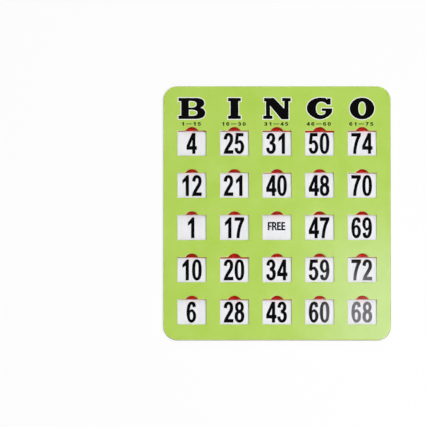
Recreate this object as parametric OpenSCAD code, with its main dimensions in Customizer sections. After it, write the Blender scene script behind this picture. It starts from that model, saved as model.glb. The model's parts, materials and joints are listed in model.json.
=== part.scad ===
// Shutter-slide number card for a calling game: a laminated board card with five columns of five
// windows. Behind each window stands one number flap, and in front of the flap a red plastic
// shutter slides down to mark the number and up again to clear it. The shutter's lip stands in a
// round notch above the window, so that a fingertip gets in behind it.
//
// Lengths are in millimetres. +X runs across the columns, +Y up the card towards its header and
// +Z out of the printed face. The origin is the middle of the back face, which lies on the table.
//
// The flaps and the shutters lean by a degree or two, like roof tiles. That lets an open shutter,
// which is longer than the band between two windows, run in behind the flap of the row above.

/* [Window grid] */
// Width of a window
window_w = 25.6; // [20:0.1:28]
// Height of a window
window_h = 22.4; // [18:0.1:25]
// Distance from one column to the next
pitch_x = 38; // [36:0.1:44]
// Distance from one row to the next
pitch_y = 38; // [36:0.1:44]
// From the side edge of the card to the first column of windows
side_margin = 12.8; // [8:0.1:25]
// From the top edge of the card to the first row of windows
header_h = 40.2; // [34:0.1:60]
// From the last row of windows to the bottom edge of the card
footer_h = 14; // [8:0.1:30]
// Radius of the card's corners
corner_r = 12.7; // [2:0.1:16]

/* [Finger notch] */
// Radius of the round notch above a window
notch_r = 6.35; // [4:0.05:9]
// Height of the notch above the window
notch_h = 3.4; // [1.5:0.1:5]

/* [Plies] */
// Thickness of the paper that lines the back
back_sheet_t = 0.2; // [0.1:0.05:0.5]
// Thickness of the backing board
back_board_t = 1.0; // [0.5:0.05:2]
// Thickness of the number sheet
number_sheet_t = 0.3; // [0.15:0.05:0.5]
// Thickness of the face board, which has the windows
face_board_t = 0.9; // [0.5:0.05:2]
// Thickness of the printed face sheet
face_sheet_t = 0.2; // [0.1:0.05:0.5]

/* [Shutters] */
// Thickness of the shutter's plastic
shutter_t = 0.4; // [0.25:0.05:0.6]
// How far a shutter reaches behind the board at each side of its window
side_lap = 2.5; // [1.5:0.1:3.5]
// How far a closed shutter reaches past the top of the finger notch
top_lap = 0.8; // [0.4:0.1:2]
// Radius of the shutter's upper corners
shutter_corner_r = 2; // [0.5:0.1:4]
// Thickness of the lip
lip_t = 0.5; // [0.3:0.05:0.7]
// How far the lip stands out of the printed face
lip_proud = 1.6; // [1.2:0.1:3]
// Radius of the lip's upper corners
lip_corner_r = 0.8; // [0.4:0.05:1]
// Diameter of the bead along the top of the lip
bead_d = 0.7; // [0.7:0.05:1.1]
// Radius of the fillet between the lip and the plate
fillet_r = 0.6; // [0.2:0.05:1]

/* [Number flaps] */
// How far a flap reaches below its window
flap_lap = 2; // [1:0.1:3]
// Width of the flat bridge of sheet that a flap hangs from
bridge_w = 3; // [1.5:0.1:5]
// Width of the slit under a flap
slit_gap = 0.4; // [0.2:0.05:0.8]

/* [Clearances] */
// Gap between a shutter's faces and what it slides past
run_gap = 0.12; // [0.08:0.01:0.2]
// Gap between a shutter's side and its track
side_gap = 0.25; // [0.15:0.05:0.5]
// Gap between each end of the lip and the corner of the notch that it stands in
lip_gap = 0.5; // [0.3:0.05:1]
// Gap between the lip and the edge that stops it at each end of the travel
stop_gap = 0.25; // [0.2:0.05:0.5]
// Gap between a flap's side and the sheet beside it
flap_gap = 0.2; // [0.1:0.05:0.4]
// Gap between an open top-row shutter and the end of its track
end_gap = 1; // [0.5:0.1:3]

/* [Hidden] */
// The game has five columns, called by letter, and five rows
column_letters = ["b", "i", "n", "g", "o"];
columns = len(column_letters);
rows = 5;
last_row = rows - 1;
circle_facets = 96;
$fn = circle_facets;

// The card's outline follows from the grid and its margins
card_w = 2 * side_margin + (columns - 1) * pitch_x + window_w;
card_h = header_h + (rows - 1) * pitch_y + window_h + footer_h;

// The notch is an arc, whose middle lies below the top edge of the window
notch_y = notch_h - notch_r;
notch_mouth_w = 2 * sqrt(pow(notch_r, 2) - pow(notch_y, 2));

// The shutter's own sizes. Its y runs up from the top edge of its window. When it is open, the ends
// of its lip stop in the curve of the notch, and when it is closed, on the lower edge of the window
shutter_w = window_w + 2 * side_lap;
channel_w = shutter_w + 2 * side_gap;
lip_w = notch_mouth_w - 2 * lip_gap;
lip_stop_y = notch_y + sqrt(pow(notch_r, 2) - pow(lip_w / 2, 2));
lip_front = lip_stop_y - stop_gap - lip_t;
travel = lip_front + window_h - stop_gap;
plate_end = travel + notch_h + top_lap;

// Where a flap begins and ends, from the top edge of its own window
flap_end = -window_h - flap_lap;
slit_y = pitch_y + flap_end;
hinge_y = slit_y - slit_gap - bridge_w;
flap_w = channel_w - 2 * flap_gap;

// The lean is the least that takes an open shutter clear under the flap of the row above
lean_past_bridge = (number_sheet_t + shutter_t + 2 * run_gap) / (pitch_y + hinge_y - slit_y);
lean_past_board = (shutter_t + 2 * run_gap) / (pitch_y + hinge_y - plate_end);
lean = max(lean_past_bridge, lean_past_board);
lean_angle = atan(lean);

// Heights of the plies above the table
back_board_z = back_sheet_t;
number_sheet_z = back_board_z + back_board_t;
track_board_z = number_sheet_z + number_sheet_t;
rise_over_bridge = number_sheet_t + lean * slit_y;
rise_over_board = lean * plate_end;
shutter_z = number_sheet_z + run_gap + max(rise_over_bridge, rise_over_board);
face_board_z = shutter_z + lean * window_h + shutter_t / cos(lean_angle) + run_gap;
track_board_t = face_board_z - track_board_z;
face_sheet_z = face_board_z + face_board_t;
face_z = face_sheet_z + face_sheet_t;
lip_h = face_z - shutter_z + lip_proud;

// How far below fully open some shutters were left by hand, by column letter and row
left_ajar = [
    ["g1", 1.4], ["i4", 1.0], ["n1", 0.9], ["o1", 0.7], ["b1", 0.6], ["i1", 0.5],
    ["i5", 0.5], ["n5", 0.5], ["n2", 0.4], ["b4", 0.4], ["o2", 0.3], ["o4", 0.3]
];

shutter_names = [for (c = [0 : columns - 1], r = [0 : last_row]) str("shutter_", cell_name(c, r))];

// Places of the grid's cells

function cell_name(c, r) = str(column_letters[c], r + 1);
function column_x(c) = (c - (columns - 1) / 2) * pitch_x;
function window_top(r) = card_h / 2 - header_h - r * pitch_y;
function window_bottom(r) = window_top(r) - window_h;

// How far a cell's shutter is drawn down at rest
function drop_of(name) =
    let (found = [for (entry = left_ajar) if (entry[0] == name) entry[1]])
    len(found) > 0 ? found[0] : 0;

// Shapes that several plies share

module rounded_rectangle(w, h, r) {
    square([w - 2 * r, h], center = true);
    square([w, h - 2 * r], center = true);
    for (x = [-1, 1], y = [-1, 1])
        translate([x * (w / 2 - r), y * (h / 2 - r)])
            circle(r);
}

module card_outline() {
    rounded_rectangle(card_w, card_h, corner_r);
}

// A rectangle across one column, between two heights
module column_strip(c, y_low, y_high, w) {
    translate([column_x(c) - w / 2, y_low])
        square([w, y_high - y_low]);
}

// One window with its finger notch, its top edge at y = 0
module window_outline() {
    translate([-window_w / 2, -window_h])
        square([window_w, window_h]);
    translate([0, notch_y])
        circle(notch_r);
}

module window_grid() {
    for (c = [0 : columns - 1], r = [0 : last_row])
        translate([column_x(c), window_top(r)])
            window_outline();
}

// Plies from the table up

module back_sheet() {
    color("tan")
        linear_extrude(back_sheet_t)
            card_outline();
}

module back_board() {
    color("rosybrown")
        translate([0, 0, back_board_z])
            linear_extrude(back_board_t)
                card_outline();
}

// The sheet is slit along three sides of each flap, and the flap leans out on its bridge
module number_sheet() {
    color("whitesmoke") {
        translate([0, 0, number_sheet_z])
            linear_extrude(number_sheet_t)
                difference() {
                    card_outline();
                    for (c = [0 : columns - 1]) {
                        for (r = [0 : last_row])
                            flap_opening(c, r);
                        header_opening(c);
                    }
                }
        for (c = [0 : columns - 1], r = [0 : last_row])
            translate([column_x(c), window_top(r), number_sheet_z])
                number_flap();
    }
}

module flap_opening(c, r) {
    column_strip(c, window_top(r) + flap_end - slit_gap, window_top(r) + hinge_y, channel_w);
}

// Room for the top row's shutters, which have no flap above them to run behind
module header_opening(c) {
    top = window_top(0);
    column_strip(c, top + slit_y - slit_gap, top + plate_end + end_gap, channel_w);
}

module number_flap() {
    rise = lean * (hinge_y - flap_end);
    root_y = hinge_y + bridge_w / 2;
    rotate([90, 0, 90])
        linear_extrude(flap_w, center = true)
            polygon([
                [root_y, 0],
                [root_y, number_sheet_t],
                [hinge_y, number_sheet_t],
                [flap_end, number_sheet_t + rise],
                [flap_end, rise],
                [hinge_y, 0]
            ]);
}

// The board that spaces the face off the number sheet, with a long track for each column
module track_board() {
    track_low = window_bottom(last_row) - flap_lap - slit_gap;
    track_high = window_top(0) + plate_end + end_gap;
    color("tan")
        translate([0, 0, track_board_z])
            linear_extrude(track_board_t)
                difference() {
                    card_outline();
                    for (c = [0 : columns - 1])
                        column_strip(c, track_low, track_high, channel_w);
                }
}

module face_ply(z, t) {
    translate([0, 0, z])
        linear_extrude(t)
            difference() {
                card_outline();
                window_grid();
            }
}

module face_board() {
    color("rosybrown")
        face_ply(face_board_z, face_board_t);
}

module face_sheet() {
    color("yellowgreen")
        face_ply(face_sheet_z, face_sheet_t);
}

// Shutters

// The plate lies at z = 0, and only its upper corners are round
module shutter_plate() {
    straight_end = plate_end - shutter_corner_r;
    corner_x = shutter_w / 2 - shutter_corner_r;
    linear_extrude(shutter_t) {
        translate([-shutter_w / 2, lip_front])
            square([shutter_w, straight_end - lip_front]);
        translate([-corner_x, lip_front])
            square([2 * corner_x, plate_end - lip_front]);
        for (x = [-corner_x, corner_x])
            translate([x, straight_end])
                circle(shutter_corner_r);
    }
}

// Side view of the lip: the wall, the bead that a fingertip catches and the fillet behind it
module lip_profile() {
    bead_z = lip_h - bead_d / 2;
    foot_depth = lip_t + fillet_r;
    foot_h = shutter_t + fillet_r;
    translate([lip_front, 0]) {
        square([lip_t, bead_z]);
        translate([lip_t / 2, bead_z])
            circle(d = bead_d);
        difference() {
            square([foot_depth, foot_h]);
            translate([foot_depth, foot_h])
                circle(fillet_r);
        }
    }
}

// Front view of the lip: only its upper corners are round
module lip_outline() {
    straight_h = lip_h - lip_corner_r;
    corner_x = lip_w / 2 - lip_corner_r;
    translate([-lip_w / 2, 0])
        square([lip_w, straight_h]);
    translate([-corner_x, 0])
        square([2 * corner_x, lip_h]);
    for (x = [-corner_x, corner_x])
        translate([x, straight_h])
            circle(lip_corner_r);
}

module shutter_lip() {
    outline_depth = 2 * (lip_t + fillet_r + bead_d);
    intersection() {
        rotate([90, 0, 90])
            linear_extrude(lip_w, center = true)
                lip_profile();
        translate([0, lip_front, 0])
            rotate([90, 0, 0])
                linear_extrude(outline_depth, center = true)
                    lip_outline();
    }
}

module shutter(c, r) {
    drop = drop_of(cell_name(c, r));
    color("red")
        translate([column_x(c), window_top(r), shutter_z])
            rotate([-lean_angle, 0, 0])
                translate([0, -drop, 0]) {
                    shutter_plate();
                    shutter_lip();
                }
}

back_sheet();
back_board();
number_sheet();
track_board();
face_board();
face_sheet();
for (c = [0 : columns - 1], r = [0 : last_row])
    shutter(c, r);
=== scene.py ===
"""Dresses a shutter slide bingo card: pressed board plies, printed numbers, red shutters and a green face
under a glossy film."""
import json
import math

import bmesh
import bpy
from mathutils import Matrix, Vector
from mathutils.bvhtree import BVHTree
from mathutils.geometry import tessellate_polygon

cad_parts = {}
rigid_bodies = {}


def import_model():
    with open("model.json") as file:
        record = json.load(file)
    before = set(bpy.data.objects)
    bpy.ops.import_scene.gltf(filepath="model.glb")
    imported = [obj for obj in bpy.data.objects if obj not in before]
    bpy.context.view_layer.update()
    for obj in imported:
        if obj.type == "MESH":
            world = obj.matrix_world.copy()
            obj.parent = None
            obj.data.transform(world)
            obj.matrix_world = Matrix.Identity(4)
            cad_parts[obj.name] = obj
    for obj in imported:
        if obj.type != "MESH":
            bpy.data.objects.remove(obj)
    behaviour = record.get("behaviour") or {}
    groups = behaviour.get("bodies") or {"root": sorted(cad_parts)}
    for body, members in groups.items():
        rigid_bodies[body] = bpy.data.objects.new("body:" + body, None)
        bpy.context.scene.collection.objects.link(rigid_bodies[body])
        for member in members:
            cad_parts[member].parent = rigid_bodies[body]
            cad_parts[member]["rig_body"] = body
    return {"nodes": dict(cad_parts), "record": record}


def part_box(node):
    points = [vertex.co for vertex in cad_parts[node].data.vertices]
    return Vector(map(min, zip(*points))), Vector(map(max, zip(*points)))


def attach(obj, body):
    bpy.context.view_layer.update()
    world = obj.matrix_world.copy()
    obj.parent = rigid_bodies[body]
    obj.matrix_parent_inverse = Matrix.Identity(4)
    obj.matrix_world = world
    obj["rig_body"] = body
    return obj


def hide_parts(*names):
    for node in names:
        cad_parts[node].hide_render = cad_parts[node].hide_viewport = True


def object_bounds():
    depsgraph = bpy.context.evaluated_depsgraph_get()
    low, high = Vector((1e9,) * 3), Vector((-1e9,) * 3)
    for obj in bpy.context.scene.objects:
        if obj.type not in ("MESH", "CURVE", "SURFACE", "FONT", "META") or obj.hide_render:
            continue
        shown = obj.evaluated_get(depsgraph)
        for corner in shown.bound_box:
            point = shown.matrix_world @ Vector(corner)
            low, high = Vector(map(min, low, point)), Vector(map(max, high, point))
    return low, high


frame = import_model()
cad_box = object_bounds()
mm = 0.001


# Back liner: a thin sheet of uncoated grey-brown paper that faces the table.
# It is glued over the whole back board, and shows the short fibres of recycled stock.

def tone(red, green, blue):
    """A colour as a paint chart gives it, 0 to 255, in the linear values that a shader takes."""
    shares = (value / 255 for value in (red, green, blue))
    return tuple(s / 12.92 if s <= 0.04045 else ((s + 0.055) / 1.055) ** 2.4 for s in shares) + (1.0,)


def new_finish(name, **sockets):
    """A finish whose shader sockets are set by name, with _ for a space."""
    finish = bpy.data.materials.new(name)
    finish.use_nodes = True
    for socket, value in sockets.items():
        finish.node_tree.nodes["Principled BSDF"].inputs[socket.replace("_", " ")].default_value = value
    return finish


def add_node(finish, kind, wires=None, **settings):
    """A node of that kind, with its settings, and with each input wired to a socket or set to a value."""
    made = finish.node_tree.nodes.new("ShaderNode" + kind)
    for setting, value in settings.items():
        setattr(made, setting, value)
    for socket, source in (wires or {}).items():
        if isinstance(source, bpy.types.NodeSocket):
            finish.node_tree.links.new(source, made.inputs[socket])
        else:
            made.inputs[socket].default_value = source
    return made


def grain(finish, size, stretch=(1, 1, 1), detail=3.0):
    """Noise with spots of about that size in metres, drawn out along the axes by stretch."""
    place = add_node(finish, "TexCoord").outputs["Object"]
    scale = [1 / (size * s) for s in stretch]
    spread = add_node(finish, "Mapping", {"Vector": place, "Scale": scale}).outputs["Vector"]
    return add_node(finish, "TexNoise", {"Vector": spread, "Scale": 1.0, "Detail": detail}).outputs["Fac"]


def shades(finish, mask, *stops):
    """Colours that follow a mask: each stop is a place from 0 to 1 and a colour."""
    ramp = add_node(finish, "ValToRGB", {"Fac": mask})
    while len(ramp.color_ramp.elements) < len(stops):
        ramp.color_ramp.elements.new(0.5)
    for element, (place, colour) in zip(ramp.color_ramp.elements, sorted(stops)):
        element.position = place
        element.color = colour
    return ramp.outputs["Color"]


def mixed(finish, share, under, over, blend="MIX"):
    """Two colours in one, with share of the second."""
    both = add_node(finish, "Mix", {0: share, 6: under, 7: over}, data_type="RGBA", blend_type=blend)
    return both.outputs[2]


def ranged(finish, value, low, high, new_low, new_high):
    """A value taken from one range to another, and held at its ends."""
    wires = {"Value": value, "From Min": low, "From Max": high, "To Min": new_low, "To Max": new_high}
    return add_node(finish, "MapRange", wires).outputs["Result"]


def dress(finish, colour, roughness=None, height=None, depth=0.0):
    """Wires a colour to the finish's shader, with any roughness and any relief of that depth in metres."""
    shader = finish.node_tree.nodes["Principled BSDF"].inputs
    finish.node_tree.links.new(colour, shader["Base Color"])
    if roughness:
        finish.node_tree.links.new(roughness, shader["Roughness"])
    if height:
        relief = add_node(finish, "Bump", {"Height": height, "Distance": depth, "Strength": 1.0})
        finish.node_tree.links.new(relief.outputs["Normal"], shader["Normal"])


def paint(piece, finish):
    """Gives a piece one finish all over."""
    piece.data.materials.clear()
    piece.data.materials.append(finish)


liner_paper = new_finish("liner_paper", Specular_IOR_Level=0.25)
fibres = grain(liner_paper, size=0.9 * mm, stretch=(3, 1, 1))
clouds = grain(liner_paper, size=14 * mm)
liner_tones = shades(liner_paper, fibres, (0.3, tone(150, 138, 120)), (0.52, tone(176, 165, 147)),
                     (0.72, tone(196, 187, 170)))
liner_clouds = shades(liner_paper, clouds, (0.35, tone(241, 239, 235)), (0.65, tone(255, 255, 255)))
dress(liner_paper, mixed(liner_paper, 1.0, liner_tones, liner_clouds, "MULTIPLY"),
      roughness=ranged(liner_paper, fibres, 0.3, 0.7, 0.92, 0.78), height=fibres, depth=0.02 * mm)
paint(frame["nodes"]["back_sheet"], liner_paper)


# Back board: solid pressed board, about 1 mm thick, that closes the shutter tracks from behind.
# It is glued up with the other plies and cut with them, so its edge shows pressed layers and
# a dark glue line.

least_gap = 0.0005 * mm


def eased(node, name, edge_r):
    """A piece that stands for a CAD node: its solid, with the sharp outer edges broken by edge_r."""
    shape = bmesh.new()
    shape.from_mesh(frame["nodes"][node].data)
    bmesh.ops.remove_doubles(shape, verts=shape.verts, dist=least_gap)
    flat_angle = math.radians(1)
    bmesh.ops.dissolve_limit(shape, angle_limit=flat_angle, verts=shape.verts, edges=shape.edges)
    sharp_angle = math.radians(35)
    sharp = [e for e in shape.edges if e.is_convex and e.calc_face_angle(0) > sharp_angle
             and e.calc_length() > 2 * edge_r]
    bmesh.ops.bevel(shape, geom=sharp, offset=edge_r, segments=2, profile=0.5, affect="EDGES")
    sliver_w = 0.002 * mm
    bmesh.ops.remove_doubles(shape, verts=shape.verts, dist=sliver_w)
    bmesh.ops.dissolve_degenerate(shape, dist=least_gap, edges=shape.edges)
    return piece_from(shape, name, node, crease=20)


def piece_from(shape, name, *nodes, crease=25):
    """A piece with that shape, which rides on the card or on its own node's body and stands for its nodes.
    Faces that meet at crease degrees or more stay crisp."""
    bmesh.ops.recalc_face_normals(shape, faces=shape.faces)
    mesh = bpy.data.meshes.new(name)
    shape.to_mesh(mesh)
    shape.free()
    mesh.shade_smooth()
    mesh.set_sharp_from_angle(angle=math.radians(crease))
    piece = bpy.data.objects.new(name, mesh)
    bpy.context.scene.collection.objects.link(piece)
    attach(piece, frame["nodes"][nodes[0]]["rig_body"] if nodes else "card")
    if nodes:
        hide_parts(*nodes)
    return piece


def board_finish(name, node, light, dark, seam):
    """Pressed board: fine layers along its cut edge, fibre flecks, and a dark glue line at each face."""
    finish = new_finish(name, Specular_IOR_Level=0.2)
    layers = grain(finish, size=0.12 * mm, stretch=(7, 7, 1))
    flecks = grain(finish, size=0.4 * mm, stretch=(1, 1, 0.5), detail=4.0)
    body = shades(finish, layers, (0.32, dark), (0.62, light))
    fleck = shades(finish, flecks, (0.34, tone(196, 190, 180)), (0.5, tone(255, 255, 255)))
    fleck_share = 0.6
    body = mixed(finish, fleck_share, body, fleck, "MULTIPLY")
    low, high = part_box(node)
    place = add_node(finish, "TexCoord").outputs["Object"]
    level = add_node(finish, "SeparateXYZ", {"Vector": place}).outputs["Z"]
    depth = ranged(finish, level, low.z, high.z, 0.0, 1.0)
    glue_t = 0.07 * mm
    glue = glue_t / (high.z - low.z)
    between = tone(246, 244, 240)
    line = shades(finish, depth, (0.0, seam), (glue, between), (1 - glue, between), (1.0, seam))
    dress(finish, mixed(finish, 1.0, body, line, "MULTIPLY"),
          roughness=ranged(finish, flecks, 0.3, 0.7, 0.95, 0.8), height=layers, depth=0.05 * mm)
    return finish


board_light = tone(194, 181, 163)
board_dark = tone(168, 154, 136)
glue_line = tone(120, 106, 94)
board_edge_r = 0.06 * mm
back_board = eased("back_board", "back_board_pressed", board_edge_r)
paint(back_board, board_finish("back_board_edge", "back_board", board_light, board_dark, glue_line))


# Number sheet: smooth white print paper, slit into one flap behind each window.
# Its rim is glued between back board and track board, and the flaps lean like roof tiles in the tracks.

number_paper = new_finish("number_paper", Specular_IOR_Level=0.25)
paper_clouds = grain(number_paper, size=9 * mm)
paper_fibres = grain(number_paper, size=0.35 * mm, stretch=(2, 1, 1))
rub_marks = grain(number_paper, size=1.1 * mm, stretch=(1, 30, 1))
paper_tones = shades(number_paper, paper_clouds, (0.3, tone(229, 230, 234)), (0.7, tone(236, 236, 238)))
rubbed = shades(number_paper, rub_marks, (0.3, tone(247, 247, 248)), (0.5, tone(255, 255, 255)))
dress(number_paper, mixed(number_paper, 1.0, paper_tones, rubbed, "MULTIPLY"),
      roughness=ranged(number_paper, rub_marks, 0.3, 0.6, 0.5, 0.34), height=paper_fibres, depth=0.002 * mm)
paint(frame["nodes"]["number_sheet"], number_paper)


# Numbers: heavy narrow numerals in black ink, printed on the flaps in one pass, with a word on the
# middle space. The ink is a film a few hundredths of a millimetre thick that follows the lean of
# each flap. Sizes are in millimetres, and the figures are drawn in a box of drawn_w by drawn_h.

def oval(x, y, half_w, half_h, fullness):
    """The four knots of an upright oval: more fullness makes its sides straighter."""
    return [(x + half_w, y, 0, fullness * half_h), (x, y + half_h, -fullness * half_w, 0),
            (x - half_w, y, 0, -fullness * half_h), (x, y - half_h, fullness * half_w, 0)]


def turned(outlines, width, height):
    """A figure turned upside down in a box of that size."""
    shift = (width, height, 0, 0, 0, 0)
    return [[tuple(s - value for s, value in zip(shift, knot)) for knot in outline] for outline in outlines]


def traced(outline, steps=14):
    """The points of a closed outline. A knot is x, y, then one pull for a smooth curve or two for a corner:
    the pull back along the curve that arrives and the pull along the curve that leaves."""
    def pulls(knot):
        if len(knot) == 6:
            return Vector(knot[2:4]), Vector(knot[4:6])
        pull = Vector(knot[2:4]) if len(knot) == 4 else Vector((0, 0))
        return -pull, pull
    points = []
    for knot, after in zip(outline, outline[1:] + outline[:1]):
        start, end = Vector(knot[:2]), Vector(after[:2])
        leave, arrive = start + pulls(knot)[1], end + pulls(after)[0]
        count = 1 if leave == start and arrive == end else steps
        for step in range(count):
            t = step / count
            points.append((1 - t) ** 3 * start + 3 * t * (1 - t) ** 2 * leave
                          + 3 * t * t * (1 - t) * arrive + t ** 3 * end)
    return points


def facing(points, outside):
    """The points in the order that keeps the ink on the left: outsides anticlockwise, holes clockwise."""
    area = sum(a.cross(b) for a, b in zip(points, points[1:] + points[:1]))
    return points if (area > 0) == outside else points[::-1]


def placed(figure, x, y, x_scale=1.0, y_scale=1.0):
    """A figure's outlines as points in metres, with its lower left corner at x, y in millimetres."""
    lines = []
    for outline in figure:
        line = [Vector((x + p.x * x_scale, y + p.y * y_scale)) * mm for p in traced(outline)]
        lines.append(facing(line, outside=not lines))
    return lines


def printed(name, figures, ground, thickness):
    """A film of ink: each figure, a list of outlines, is a closed plate that follows the ground's height."""
    ink = bmesh.new()
    for lines in figures:
        low = [[ink.verts.new((p.x, p.y, ground(p.x, p.y))) for p in line] for line in lines]
        high = [[ink.verts.new((v.co.x, v.co.y, v.co.z + thickness)) for v in line] for line in low]
        for lower, upper in zip(low, high):
            for a, b, c, d in zip(lower, lower[1:] + lower[:1], upper[1:] + upper[:1], upper):
                ink.faces.new((a, b, c, d))
        corners = tessellate_polygon([[(p.x, p.y, 0) for p in line] for line in lines])
        flat_high = [v for line in high for v in line]
        flat_low = [v for line in low for v in line]
        for triangle in corners:
            ink.faces.new([flat_high[i] for i in triangle])
            ink.faces.new([flat_low[i] for i in reversed(triangle)])
    return piece_from(ink, name)


drawn_w = 8.2
drawn_h = 18.3
six = [[(7.85, 13.8, 0, 0, -0.1, 2.9), (4.35, 18.4, -2.9, 0), (0, 9, 0, -5.6), (4.15, -0.1, 2.4, 0),
        (8.15, 5.95, 0, 3.3), (4.75, 11.65, -0.9, 0), (2.65, 10.35, 0.6, 0.9, 0, 2.2),
        (4.25, 15.9, 0.75, 0), (5.3, 13.45, 0, 1.2, 0, 0)],
       oval(4.15, 5.95, 1.42, 3.45, 0.62)]
numerals = {
    "0": [oval(4.1, 9.15, 4.1, 9.25, 0.66), oval(4.1, 9.15, 1.45, 6.8, 0.72)],
    "1": [[(6.65, 0), (6.65, 18.3), (4.95, 18.3), (1.15, 13.8), (1.15, 10.9), (3.95, 13.1), (3.95, 0)]],
    "2": [[(0, 0), (8.2, 0), (8.2, 3), (3.6, 3, 0, 0, 0.7, 1.6), (6.5, 7.9, 0.9, 1.7), (8.1, 13.2, 0, 2.9),
           (4.15, 18.4, -2.5, 0), (0.15, 12.9, 0, 3.3, 0, 0), (2.8, 12.55, 0, 0, 0, 1.9),
           (4.15, 15.85, 0.85, 0), (5.4, 13.2, 0, -1.7), (3.9, 8.9, -1.1, -2), (1.3, 4.3, -0.9, -1.7)]],
    "3": [[(2.8, 12.9, 0, 1.9, 0, 0), (0.25, 13.2, 0, 0, 0, 3.2), (4.05, 18.4, 2.3, 0), (7.75, 13.8, 0, -2),
           (6.1, 9.75, 1, 0.8, 1.3, -0.7), (8.15, 5.4, 0, -3.2), (4.05, -0.1, -2.5, 0),
           (0, 5.1, 0, -3.1, 0, 0), (2.6, 5.4, 0, 0, 0, -1.9), (4.05, 2.45, 0.85, 0), (5.45, 5.5, 0, 1.9),
           (3.05, 8.35, 1.5, 0.05, 0, 0), (3.05, 10.95, 0, 0, 1.3, 0.05), (5.1, 13.7, 0, 1.3),
           (4.05, 15.9, -0.75, 0)]],
    "4": [[(4.9, 0), (7.5, 0), (7.5, 3.6), (8.7, 3.6), (8.7, 6.7), (7.5, 6.7), (7.5, 18.3), (4.85, 18.3),
           (0, 7), (0, 3.6), (4.9, 3.6)], [(4.9, 6.7), (2.55, 6.7), (4.9, 12.6)]],
    "5": [[(1.15, 18.3), (0.15, 8.7), (2.5, 8.3, 0, 0, 0.3, 0.9), (3.95, 9.55, 0.9, 0),
           (5.4, 6.05, 0, -2.1), (3.95, 2.45, -0.8, 0), (2.6, 5.2, 0, -1.7, 0, 0),
           (0, 4.95, 0, 0, 0.1, -3), (4, -0.1, 2.5, 0), (8.15, 6.2, 0, 3.4), (4.75, 12.05, -0.9, 0),
           (2.95, 11.4, 0.5, 0.3, 0, 0), (3.35, 15.4), (7.5, 15.4), (7.5, 18.3)]],
    "6": six,
    "7": [[(0, 18.3), (0, 15.3), (5.05, 15.3, 0, 0, -1.9, -3.2), (1.6, 0, 0.1, 5, 0, 0),
           (4.15, 0, 0, 0, 0.1, 5.2), (8.1, 15.7, -2.4, -4, 0, 0), (8.1, 18.3)]],
    "8": [[(4.1, 18.4, 2.3, 0), (7.8, 13.85, 0, -2), (6.45, 9.75, 0.7, 0.8, 1, -0.6), (8.2, 5.3, 0, -3.2),
           (4.1, -0.1, -2.5, 0), (0, 5.3, 0, 3.2), (1.75, 9.75, -1, -0.6, -0.7, 0.8), (0.4, 13.85, 0, 2.4)],
          oval(4.1, 13.55, 1.25, 2.35, 0.6), oval(4.1, 5.35, 1.45, 2.95, 0.6)],
    "9": turned(six, 8.15, drawn_h),
}
word_letters = {
    "F": [[(0, 0), (1.25, 0), (1.25, 2.95), (3, 2.95), (3, 4.15), (1.25, 4.15), (1.25, 6.05), (3.3, 6.05),
           (3.3, 7.3), (0, 7.3)]],
    "R": [[(0, 0), (1.25, 0), (1.25, 2.9), (1.6, 2.9, 0, 0, 0.4, 0), (2.3, 2.2, -0.2, 0.4, 0, 0),
           (2.95, 0), (4.2, 0), (3.5, 2.3, 0.2, -0.6, -0.2, 0.6), (2.9, 3.2, 0.4, -0.3, 0, 0),
           (3.75, 5.1, 0, -1, 0, 1.2), (1.9, 7.3, 1.1, 0, 0, 0), (0, 7.3)],
          [(1.25, 4.05), (1.25, 6.1), (1.8, 6.1, 0, 0, 0.5, 0), (2.5, 5.1, 0, 0.5, 0, -0.6),
           (1.8, 4.05, 0.5, 0, 0, 0)]],
    "E": [[(0, 0), (3.35, 0), (3.35, 1.25), (1.25, 1.25), (1.25, 3.1), (3.1, 3.1), (3.1, 4.3), (1.25, 4.3),
           (1.25, 6.05), (3.25, 6.05), (3.25, 7.3), (0, 7.3)]],
}
word_starts = {"F": (0,), "R": (3.7,), "E": (8.2, 12.05)}
word_w = 15.4
word_foot = 8.8
numeral_w = 8.5
numeral_h = 18.7
numeral_cell = 9.8
number_foot = 1.65
number_shift = -0.45
ink_spread = 0.1 * mm
columns = {
    "b": (4, 12, 1, 10, 6),
    "i": (25, 21, 17, 20, 28),
    "n": (31, 40, None, 34, 43),
    "g": (50, 48, 47, 59, 60),
    "o": (74, 70, 69, 72, 68),
}
windows = {opening["name"]: opening["box_m"] for opening in frame["record"]["physics"]["openings"]}


def window_foot(letter, row):
    """Middle and lower end of a window, in millimetres."""
    (left, foot, _), (right, _, _) = windows[f"window_{letter}{row}"]
    return (left + right) / 2 / mm, foot / mm


def set_in(outline, distance):
    """An outline moved to its left by that distance, into the ink or board that it bounds."""
    longest_mitre = 2.5
    moved = []
    for before, here, after in zip(outline[-1:] + outline[:-1], outline, outline[1:] + outline[:1]):
        arriving = (here - before).normalized().orthogonal()
        leaving = (after - here).normalized().orthogonal()
        across = (arriving + leaving).normalized()
        moved.append(here + across * distance / max(across.dot(arriving), 1 / longest_mitre))
    return moved


def spread(figures, distance):
    """Figures whose ink has run out by that distance, without the folds this makes in tight bends."""
    corner_angle = math.radians(50)
    least_run = 0.97 * distance

    def gap(point, start, end):
        along = end - start
        share = min(max((point - start).dot(along) / along.length_squared, 0), 1)
        return (start + along * share - point).length

    def run_out(line):
        sides = list(zip(line, line[1:] + line[:1]))
        kept = []
        for (before, here), (_, after), moved in zip(sides[-1:] + sides[:-1], sides, set_in(line, -distance)):
            is_corner = (here - before).angle(after - here) > corner_angle
            if is_corner or min(gap(moved, start, end) for start, end in sides) > least_run:
                kept.append(moved)
        return kept
    return [[run_out(line) for line in lines] for lines in figures]


def numeral_at(numeral, x, y, width=numeral_w, height=numeral_h):
    """A numeral of that size, with its lower left corner at x, y in millimetres."""
    return placed(numerals[numeral], x, y, width / drawn_w, height / drawn_h)


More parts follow.
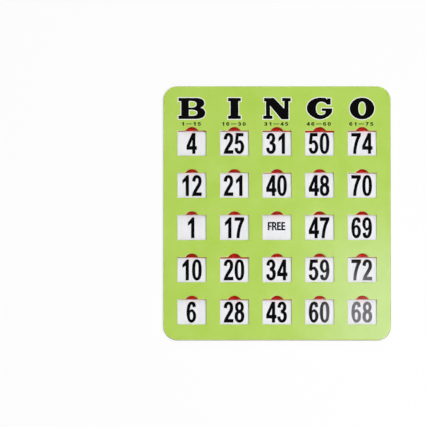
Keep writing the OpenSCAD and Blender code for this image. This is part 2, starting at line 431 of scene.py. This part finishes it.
figures = []
for letter, column in columns.items():
    for row, number in enumerate(column, start=1):
        middle, foot = window_foot(letter, row)
        middle += number_shift
        if number is None:
            figures += [placed(word_letters[w], middle - word_w / 2 + start, foot + word_foot)
                        for w, starts in word_starts.items() for start in starts]
        elif number < 10:
            figures.append(numeral_at(str(number), middle - numeral_w / 2, foot + number_foot))
        else:
            side_gap = (numeral_cell - numeral_w) / 2
            figures += [numeral_at(n, middle + cell * numeral_cell + side_gap, foot + number_foot)
                        for n, cell in zip(str(number), (-1, 0))]

sheet_mesh = frame["nodes"]["number_sheet"].data
sheet_surface = BVHTree.FromPolygons([v.co for v in sheet_mesh.vertices],
                                     [p.vertices for p in sheet_mesh.polygons])


def flap_height(x, y):
    """Height of the number sheet under a point."""
    above = Vector((x, y, cad_box[1].z))
    return sheet_surface.ray_cast(above, Vector((0, 0, -1)))[0].z


number_ink_t = 0.025 * mm
numbers = printed("number_print", spread(figures, ink_spread), flap_height, number_ink_t)
black_ink = new_finish("black_ink", Specular_IOR_Level=0.5)
ink_mottle = grain(black_ink, size=0.5 * mm)
dress(black_ink, shades(black_ink, ink_mottle, (0.3, tone(2, 2, 3)), (0.7, tone(7, 7, 8))),
      roughness=ranged(black_ink, ink_mottle, 0.3, 0.7, 0.07, 0.1))
paint(numbers, black_ink)


# Track board: thicker pressed board with one long slot per column, in which that column's shutters run.
# It is glued on the rim of the number sheet and holds the face off the numbers.

track_board = eased("track_board", "track_board_pressed", board_edge_r)
paint(track_board, board_finish("track_board_edge", "track_board", board_light, board_dark, glue_line))


# Shutters: 25 plates of red tinted plastic, each moulded with a lip that a fingertip catches.
# They lie loose between face board and flaps, and the number shows through a shutter that is closed.

shutter_plastic = new_finish("shutter_plastic", Transmission_Weight=0.85, IOR=1.49, Specular_IOR_Level=0.4)
flow_marks = grain(shutter_plastic, size=5 * mm, stretch=(1, 3, 1))
scuffs = grain(shutter_plastic, size=0.4 * mm, stretch=(1, 40, 1))
shutter_reds = shades(shutter_plastic, flow_marks, (0.3, tone(246, 56, 18)), (0.7, tone(252, 66, 26)))
dress(shutter_plastic, shutter_reds,
      roughness=ranged(shutter_plastic, scuffs, 0.35, 0.7, 0.12, 0.22), height=flow_marks, depth=0.004 * mm)
shutter_edge_r = 0.1 * mm
for letter, column in columns.items():
    for row in range(1, len(column) + 1):
        shutter = eased(f"shutter_{letter}{row}", f"shutter_{letter}{row}_moulded", shutter_edge_r)
        paint(shutter, shutter_plastic)


# Face board: pressed board under the print, with the windows and finger notches cut out from the face side.
# The cut presses its upper edges round, more along the rim of the card than at the windows.

def cut_outlines(node):
    """The outlines of a flat ply's upper face as points, with board on their left: the card's edge first."""
    same_level = 0.001 * mm
    ply = bmesh.new()
    ply.from_mesh(frame["nodes"][node].data)
    bmesh.ops.remove_doubles(ply, verts=ply.verts, dist=least_gap)
    top = max(v.co.z for v in ply.verts)
    upper = [f for f in ply.faces if all(abs(v.co.z - top) < same_level for v in f.verts)]
    in_upper = set(upper)
    following = {}
    for face in upper:
        for corner in face.loops:
            if corner.link_loop_radial_next.face not in in_upper:
                following[corner.vert] = corner.link_loop_next.vert
    lines = []
    while following:
        vert = next(iter(following))
        line = []
        while vert in following:
            line.append(vert.co.xy)
            vert = following.pop(vert)
        lines.append([p.copy() for p in line])
    ply.free()
    return sorted(lines, key=lambda line: min(p.x for p in line))


def pressed_ply(name, node, outlines, edges):
    """A ply that follows edges, the course of its cut edge as insets and heights for each outline."""
    ply = bmesh.new()
    ends = ([], [])
    for outline, edge in zip(outlines, edges):
        rings = [[ply.verts.new((p.x, p.y, z)) for p in set_in(outline, inset)] for inset, z in edge]
        for upper, lower in zip(rings, rings[1:]):
            for a, b, c, d in zip(upper, upper[1:] + upper[:1], lower[1:] + lower[:1], lower):
                ply.faces.new((a, d, c, b))
        ends[0].append(rings[0])
        ends[1].append(rings[-1])
    for rings in ends:
        verts = [v for ring in rings for v in ring]
        for triangle in tessellate_polygon([[(v.co.x, v.co.y, 0) for v in ring] for ring in rings]):
            ply.faces.new([verts[i] for i in triangle])
    return piece_from(ply, name, node)


def shoulder(top, width, drop, steps=4):
    """Insets and heights of a round shoulder, from the flat face down to the cut edge."""
    turns = [math.radians(90) * step / steps for step in range(steps + 1)]
    return [(width * (1 - math.sin(t)), top - drop * (1 - math.cos(t))) for t in turns]


rim_press = (0.45 * mm, 0.4 * mm)
window_press = (0.15 * mm, 0.1 * mm)
flat_rim = 0.3 * mm
face_outlines = cut_outlines("face_board")
presses = [rim_press] + [window_press] * (len(face_outlines) - 1)
board_low, board_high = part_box("face_board")
board_edges = [[(width + flat_rim, board_high.z)] + shoulder(board_high.z, width, drop)
               + [(board_edge_r, board_low.z)] for width, drop in presses]
face_board = pressed_ply("face_board_pressed", "face_board", face_outlines, board_edges)
face_board_light = tone(206, 200, 184)
face_board_dark = tone(172, 164, 146)
paint(face_board, board_finish("face_board_edge", "face_board", face_board_light, face_board_dark, glue_line))


# Printed face: a sheet of white paper printed lime green, with a clear glossy film over the print.
# It is glued to the face board before cutting, so it rolls down over the pressed edges and thins out there.

film_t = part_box("face_sheet")[1].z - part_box("face_sheet")[0].z
film_reach = 0.12 * mm
face_z = board_high.z + film_t
sheet_edges = [[(width + film_reach + flat_rim, face_z)] + shoulder(face_z, width + film_reach, drop + film_t)
               + shoulder(board_high.z, width, drop)[-2::-1] + [(width + flat_rim, board_high.z)]
               for width, drop in presses]
printed_face = pressed_ply("printed_face", "face_sheet", face_outlines, sheet_edges)

film_sheen = (0.74, 0.66, 1.0, 1.0)
green_print = new_finish("green_print", Specular_IOR_Level=0.68, Specular_Tint=film_sheen)
print_clouds = grain(green_print, size=22 * mm)
print_grain = grain(green_print, size=0.25 * mm, detail=1.0)
film_peel = grain(green_print, size=1.6 * mm, detail=2.0)
film_waves = grain(green_print, size=30 * mm, detail=1.0)
greens = shades(green_print, print_clouds, (0.3, tone(178, 212, 84)), (0.7, tone(185, 217, 97)))
screen = shades(green_print, print_grain, (0.3, tone(248, 250, 244)), (0.6, tone(255, 255, 255)))
greens = mixed(green_print, 1.0, greens, screen, "MULTIPLY")
face_place = add_node(green_print, "TexCoord").outputs["Object"]
face_level = add_node(green_print, "SeparateXYZ", {"Vector": face_place}).outputs["Z"]
wear_starts = face_z - 0.04 * mm
wear_ends = face_z - 0.45 * mm
most_wear = 0.75
worn_edge = ranged(green_print, face_level, wear_ends, wear_starts, most_wear, 0.0)
edge_pale = tone(226, 236, 196)
wave_height = 6.0
high_waves = ranged(green_print, film_waves, 0.0, 1.0, 0.0, wave_height)
surface = add_node(green_print, "Math", {0: high_waves, 1: film_peel}, operation="ADD").outputs["Value"]
dress(green_print, mixed(green_print, worn_edge, greens, edge_pale),
      roughness=ranged(green_print, print_clouds, 0.3, 0.7, 0.19, 0.22), height=surface, depth=0.002 * mm)
paint(printed_face, green_print)


# Column letters: heavy letters with slab feet, one over each column, in black with a white surround.
# Both inks lie on the green of the face: the white surround first, and the black letter on it.

slab_letters = {
    "b": (23.6, [[(0, 0), (15.6, 0, 0, 0, 5.2, 0), (23.6, 5, 0, 2.9), (18.9, 10.05, 2.7, -0.7, 2.4, 0.8),
                  (22.8, 14.3, 0, 2.5), (16, 18.6, 3.9, 0, 0, 0), (0, 18.6), (0, 16.1), (2.45, 16.1),
                  (2.45, 2.6), (0, 2.6)],
                 [(8.85, 2.5), (8.85, 8.3), (11.9, 8.3, 0, 0, 3, 0), (16.9, 5.3, 0, -1.8),
                  (11.9, 2.5, 3, 0, 0, 0)],
                 [(8.85, 9.95), (8.85, 16.2), (11.6, 16.2, 0, 0, 2.9, 0), (16.2, 13.2, 0, -1.9),
                  (11.6, 9.95, 2.9, 0, 0, 0)]]),
    "i": (11, [[(0, 0), (11, 0), (11, 2.6), (8.85, 2.6), (8.85, 16), (11, 16), (11, 18.6), (0, 18.6),
                (0, 16), (2.15, 16), (2.15, 2.6), (0, 2.6)]]),
    "n": (24.2, [[(0, 0), (7.9, 0), (7.9, 2.6), (5.75, 2.6), (5.75, 12.4), (16.2, -0.3), (22.3, -0.3),
                  (22.3, 15.9), (24.2, 15.9), (24.2, 18.6), (16.9, 18.6), (16.9, 15.9), (18.8, 15.9),
                  (18.8, 8.6), (9.3, 18.6), (0.7, 18.6), (0.7, 15.9), (2.4, 15.9), (2.4, 2.6), (0, 2.6)]]),
    "g": (22.4, [[(21, 18.2), (18.3, 18.2), (17.7, 17.1, 0, 0, -1.8, 1.2), (12, 18.9, -7, 0),
                  (0, 9.3, 0, -5.3), (11.7, -0.3, 4.4, 0), (22.4, 7.3, 0, -3.4, 0, 0), (22.4, 9.2),
                  (13.4, 9.2), (13.4, 7.2), (16.7, 7.2, 0, 0, 0, -2.9), (12.4, 3.2, -3.2, 0),
                  (7.8, 9.3, 0, 3.7), (12.5, 15.5, 2.9, 0), (18, 13, -1, 1.4, 0, 0), (21, 13)]]),
    "o": (21.6, [oval(10.8, 9.3, 10.8, 9.6, 0.56), oval(10.8, 9.3, 3.5, 6.4, 0.62)]),
}
letter_drop = 29.4
letter_foot = board_high.y / mm - letter_drop
surround_w = 0.9 * mm
letter_spread = 0.2 * mm
face_ink_t = 0.02 * mm
letters = [placed(figure, window_foot(letter, 1)[0] - width / 2, letter_foot)
           for letter, (width, figure) in slab_letters.items()]
letter_surround = printed("letter_surround", spread(letters, surround_w), lambda x, y: face_z, face_ink_t)
column_letters = printed("column_letters", spread(letters, letter_spread),
                         lambda x, y: face_z + face_ink_t, face_ink_t)
white_ink = new_finish("white_ink", Roughness=0.21, Specular_IOR_Level=0.5)
white_mottle = grain(white_ink, size=0.6 * mm)
dress(white_ink, shades(white_ink, white_mottle, (0.3, tone(238, 241, 232)), (0.7, tone(246, 248, 242))))
paint(letter_surround, white_ink)
paint(column_letters, black_ink)


# Column ranges: a line of small dark numerals under each letter, with the lowest and highest number
# of its column. They are printed with the letters, in the same numerals as the windows but drawn wide.

range_h = 3.1
range_w = 2.7
range_step = 4.1
dash_w = 5.0
dash_t = 0.5
range_drop = 35.6
range_foot = board_high.y / mm - range_drop
range_spread = 0.08 * mm
numbers_per_column = 15
dash = [[(0, 0), (dash_w, 0), (dash_w, dash_t), (0, dash_t)]]
ranges = []
for place, letter in enumerate(columns):
    first = str(place * numbers_per_column + 1)
    last = str((place + 1) * numbers_per_column)
    gap = range_step - range_w
    line_w = (len(first) + len(last)) * range_step + dash_w + gap
    x = window_foot(letter, 1)[0] - line_w / 2
    for numeral in first:
        ranges.append(numeral_at(numeral, x, range_foot, range_w, range_h))
        x += range_step
    ranges.append(placed(dash, x, range_foot + range_h / 2 - dash_t / 2))
    x += dash_w + gap
    for numeral in last:
        ranges.append(numeral_at(numeral, x, range_foot, range_w, range_h))
        x += range_step
column_ranges = printed("column_ranges", spread(ranges, range_spread), lambda x, y: face_z, face_ink_t)
green_black_ink = new_finish("green_black_ink", Roughness=0.21, Specular_IOR_Level=0.5)
range_mottle = grain(green_black_ink, size=0.4 * mm)
dress(green_black_ink,
      shades(green_black_ink, range_mottle, (0.3, tone(12, 16, 6)), (0.7, tone(24, 30, 10))))
paint(column_ranges, green_black_ink)


# Table: a wide pale sheet under the card, which keeps the card's soft shadow and reads as white.
# It is clear from below and lets the light of the lamp below through, so that the back of the card
# can be looked at.

table_r = 12
table_gap = 0.02 * mm
table_shape = bmesh.new()
bmesh.ops.create_circle(table_shape, cap_ends=True, segments=64, radius=table_r)
table_mesh = bpy.data.meshes.new("table")
table_shape.to_mesh(table_mesh)
table_shape.free()
table = bpy.data.objects.new("table", table_mesh)
table.location.z = cad_box[0].z - table_gap
bpy.context.scene.collection.objects.link(table)

table_white = new_finish("table_white", Roughness=0.9, Specular_IOR_Level=0.1)
table_clouds = grain(table_white, size=0.4)
dress(table_white, shades(table_white, table_clouds, (0.3, tone(243, 243, 243)), (0.7, tone(246, 246, 246))))
rays = add_node(table_white, "LightPath").outputs
seen_or_mirrored = add_node(table_white, "Math", {0: rays["Is Camera Ray"], 1: rays["Is Glossy Ray"]},
                            operation="ADD").outputs[0]
seen = add_node(table_white, "Math", {0: seen_or_mirrored, 1: rays["Is Transmission Ray"]},
                operation="MAXIMUM").outputs[0]
most_glow = 0.8
glow_share = ranged(table_white, seen, 0.0, 1.0, 0.0, most_glow)
glow = add_node(table_white, "Emission", {"Color": (1, 1, 1, 1), "Strength": 1.0}).outputs[0]
clear = add_node(table_white, "BsdfTransparent").outputs[0]
paper_white = table_white.node_tree.nodes["Principled BSDF"].outputs[0]
top_side = add_node(table_white, "MixShader", {0: glow_share, 1: paper_white, 2: glow}).outputs[0]
underneath = add_node(table_white, "NewGeometry").outputs["Backfacing"]
see_through = add_node(table_white, "Math", {0: underneath, 1: rays["Is Shadow Ray"]},
                       operation="MAXIMUM").outputs[0]
both_sides = add_node(table_white, "MixShader", {0: see_through, 1: top_side, 2: clear}).outputs[0]
table_white.node_tree.links.new(both_sides, table_white.node_tree.nodes["Material Output"].inputs["Surface"])
paint(table, table_white)


# Studio light: a key lamp high over the right and the foot, a small lamp over the lower right corner,
# whose glow falls on the film and the ink there, wide soft fills from head and foot, a lamp below that
# lights the card's back, and a dim room.

def soft_box(name, place, width, depth, glow, aim=(0, 0, 0), tint=(1, 1, 1)):
    """A rectangular lamp of that glow, where 1 is paper white, aimed at a point."""
    lamp = bpy.data.lights.new(name, "AREA")
    lamp.shape = "RECTANGLE"
    lamp.size = width
    lamp.size_y = depth
    lamp.energy = glow * math.pi * width * depth
    lamp.color = tint
    box = bpy.data.objects.new(name, lamp)
    box.location = place
    box.rotation_euler = (Vector(aim) - Vector(place)).to_track_quat("-Z", "Y").to_euler()
    box.visible_camera = False
    bpy.context.scene.collection.objects.link(box)


soft_box("key_lamp", place=(0.8, -0.55, 3.0), width=0.7, depth=0.7, glow=41.0)
soft_box("corner_lamp", place=(0.1046, -0.0202, 0.5), width=0.113, depth=0.124, glow=4.7,
         aim=(0.1046, -0.0202, 0.0), tint=(1.0, 0.98, 1.04))
soft_box("head_fill", place=(-0.1, 2.6, 2.6), width=3.6, depth=3.6, glow=1.2)
soft_box("foot_fill", place=(0.2, -2.2, 1.6), width=2.4, depth=1.4, glow=1.5)
soft_box("under_lamp", place=(0, 0, -3.0), width=1.2, depth=1.2, glow=14.0)
room_glow = 0.06
room = bpy.data.worlds.new("room")
room.use_nodes = True
room.node_tree.nodes["Background"].inputs["Color"].default_value = (1, 1, 1, 1)
room.node_tree.nodes["Background"].inputs["Strength"].default_value = room_glow
bpy.context.scene.world = room
bpy.context.scene.view_settings.view_transform = "Standard"


# Camera: far off and almost square to the face, tilted a little towards the foot of the card.
# The card lies to the right of the picture's middle.

picture_w = 381.1 * mm
camera_far = 15.0
camera_tilt = math.radians(7.8)
picture_middle = Vector((-56.7 * mm, -0.5 * mm, face_z))
lens = bpy.data.cameras.new("camera")
lens.sensor_width = 36
lens.lens = lens.sensor_width * camera_far / picture_w
lens.clip_end = 100
camera = bpy.data.objects.new("camera", lens)
camera.location = picture_middle + camera_far * Vector((0, -math.sin(camera_tilt), math.cos(camera_tilt)))
camera.rotation_euler = (camera_tilt, 0, 0)
bpy.context.scene.collection.objects.link(camera)
bpy.context.scene.camera = camera
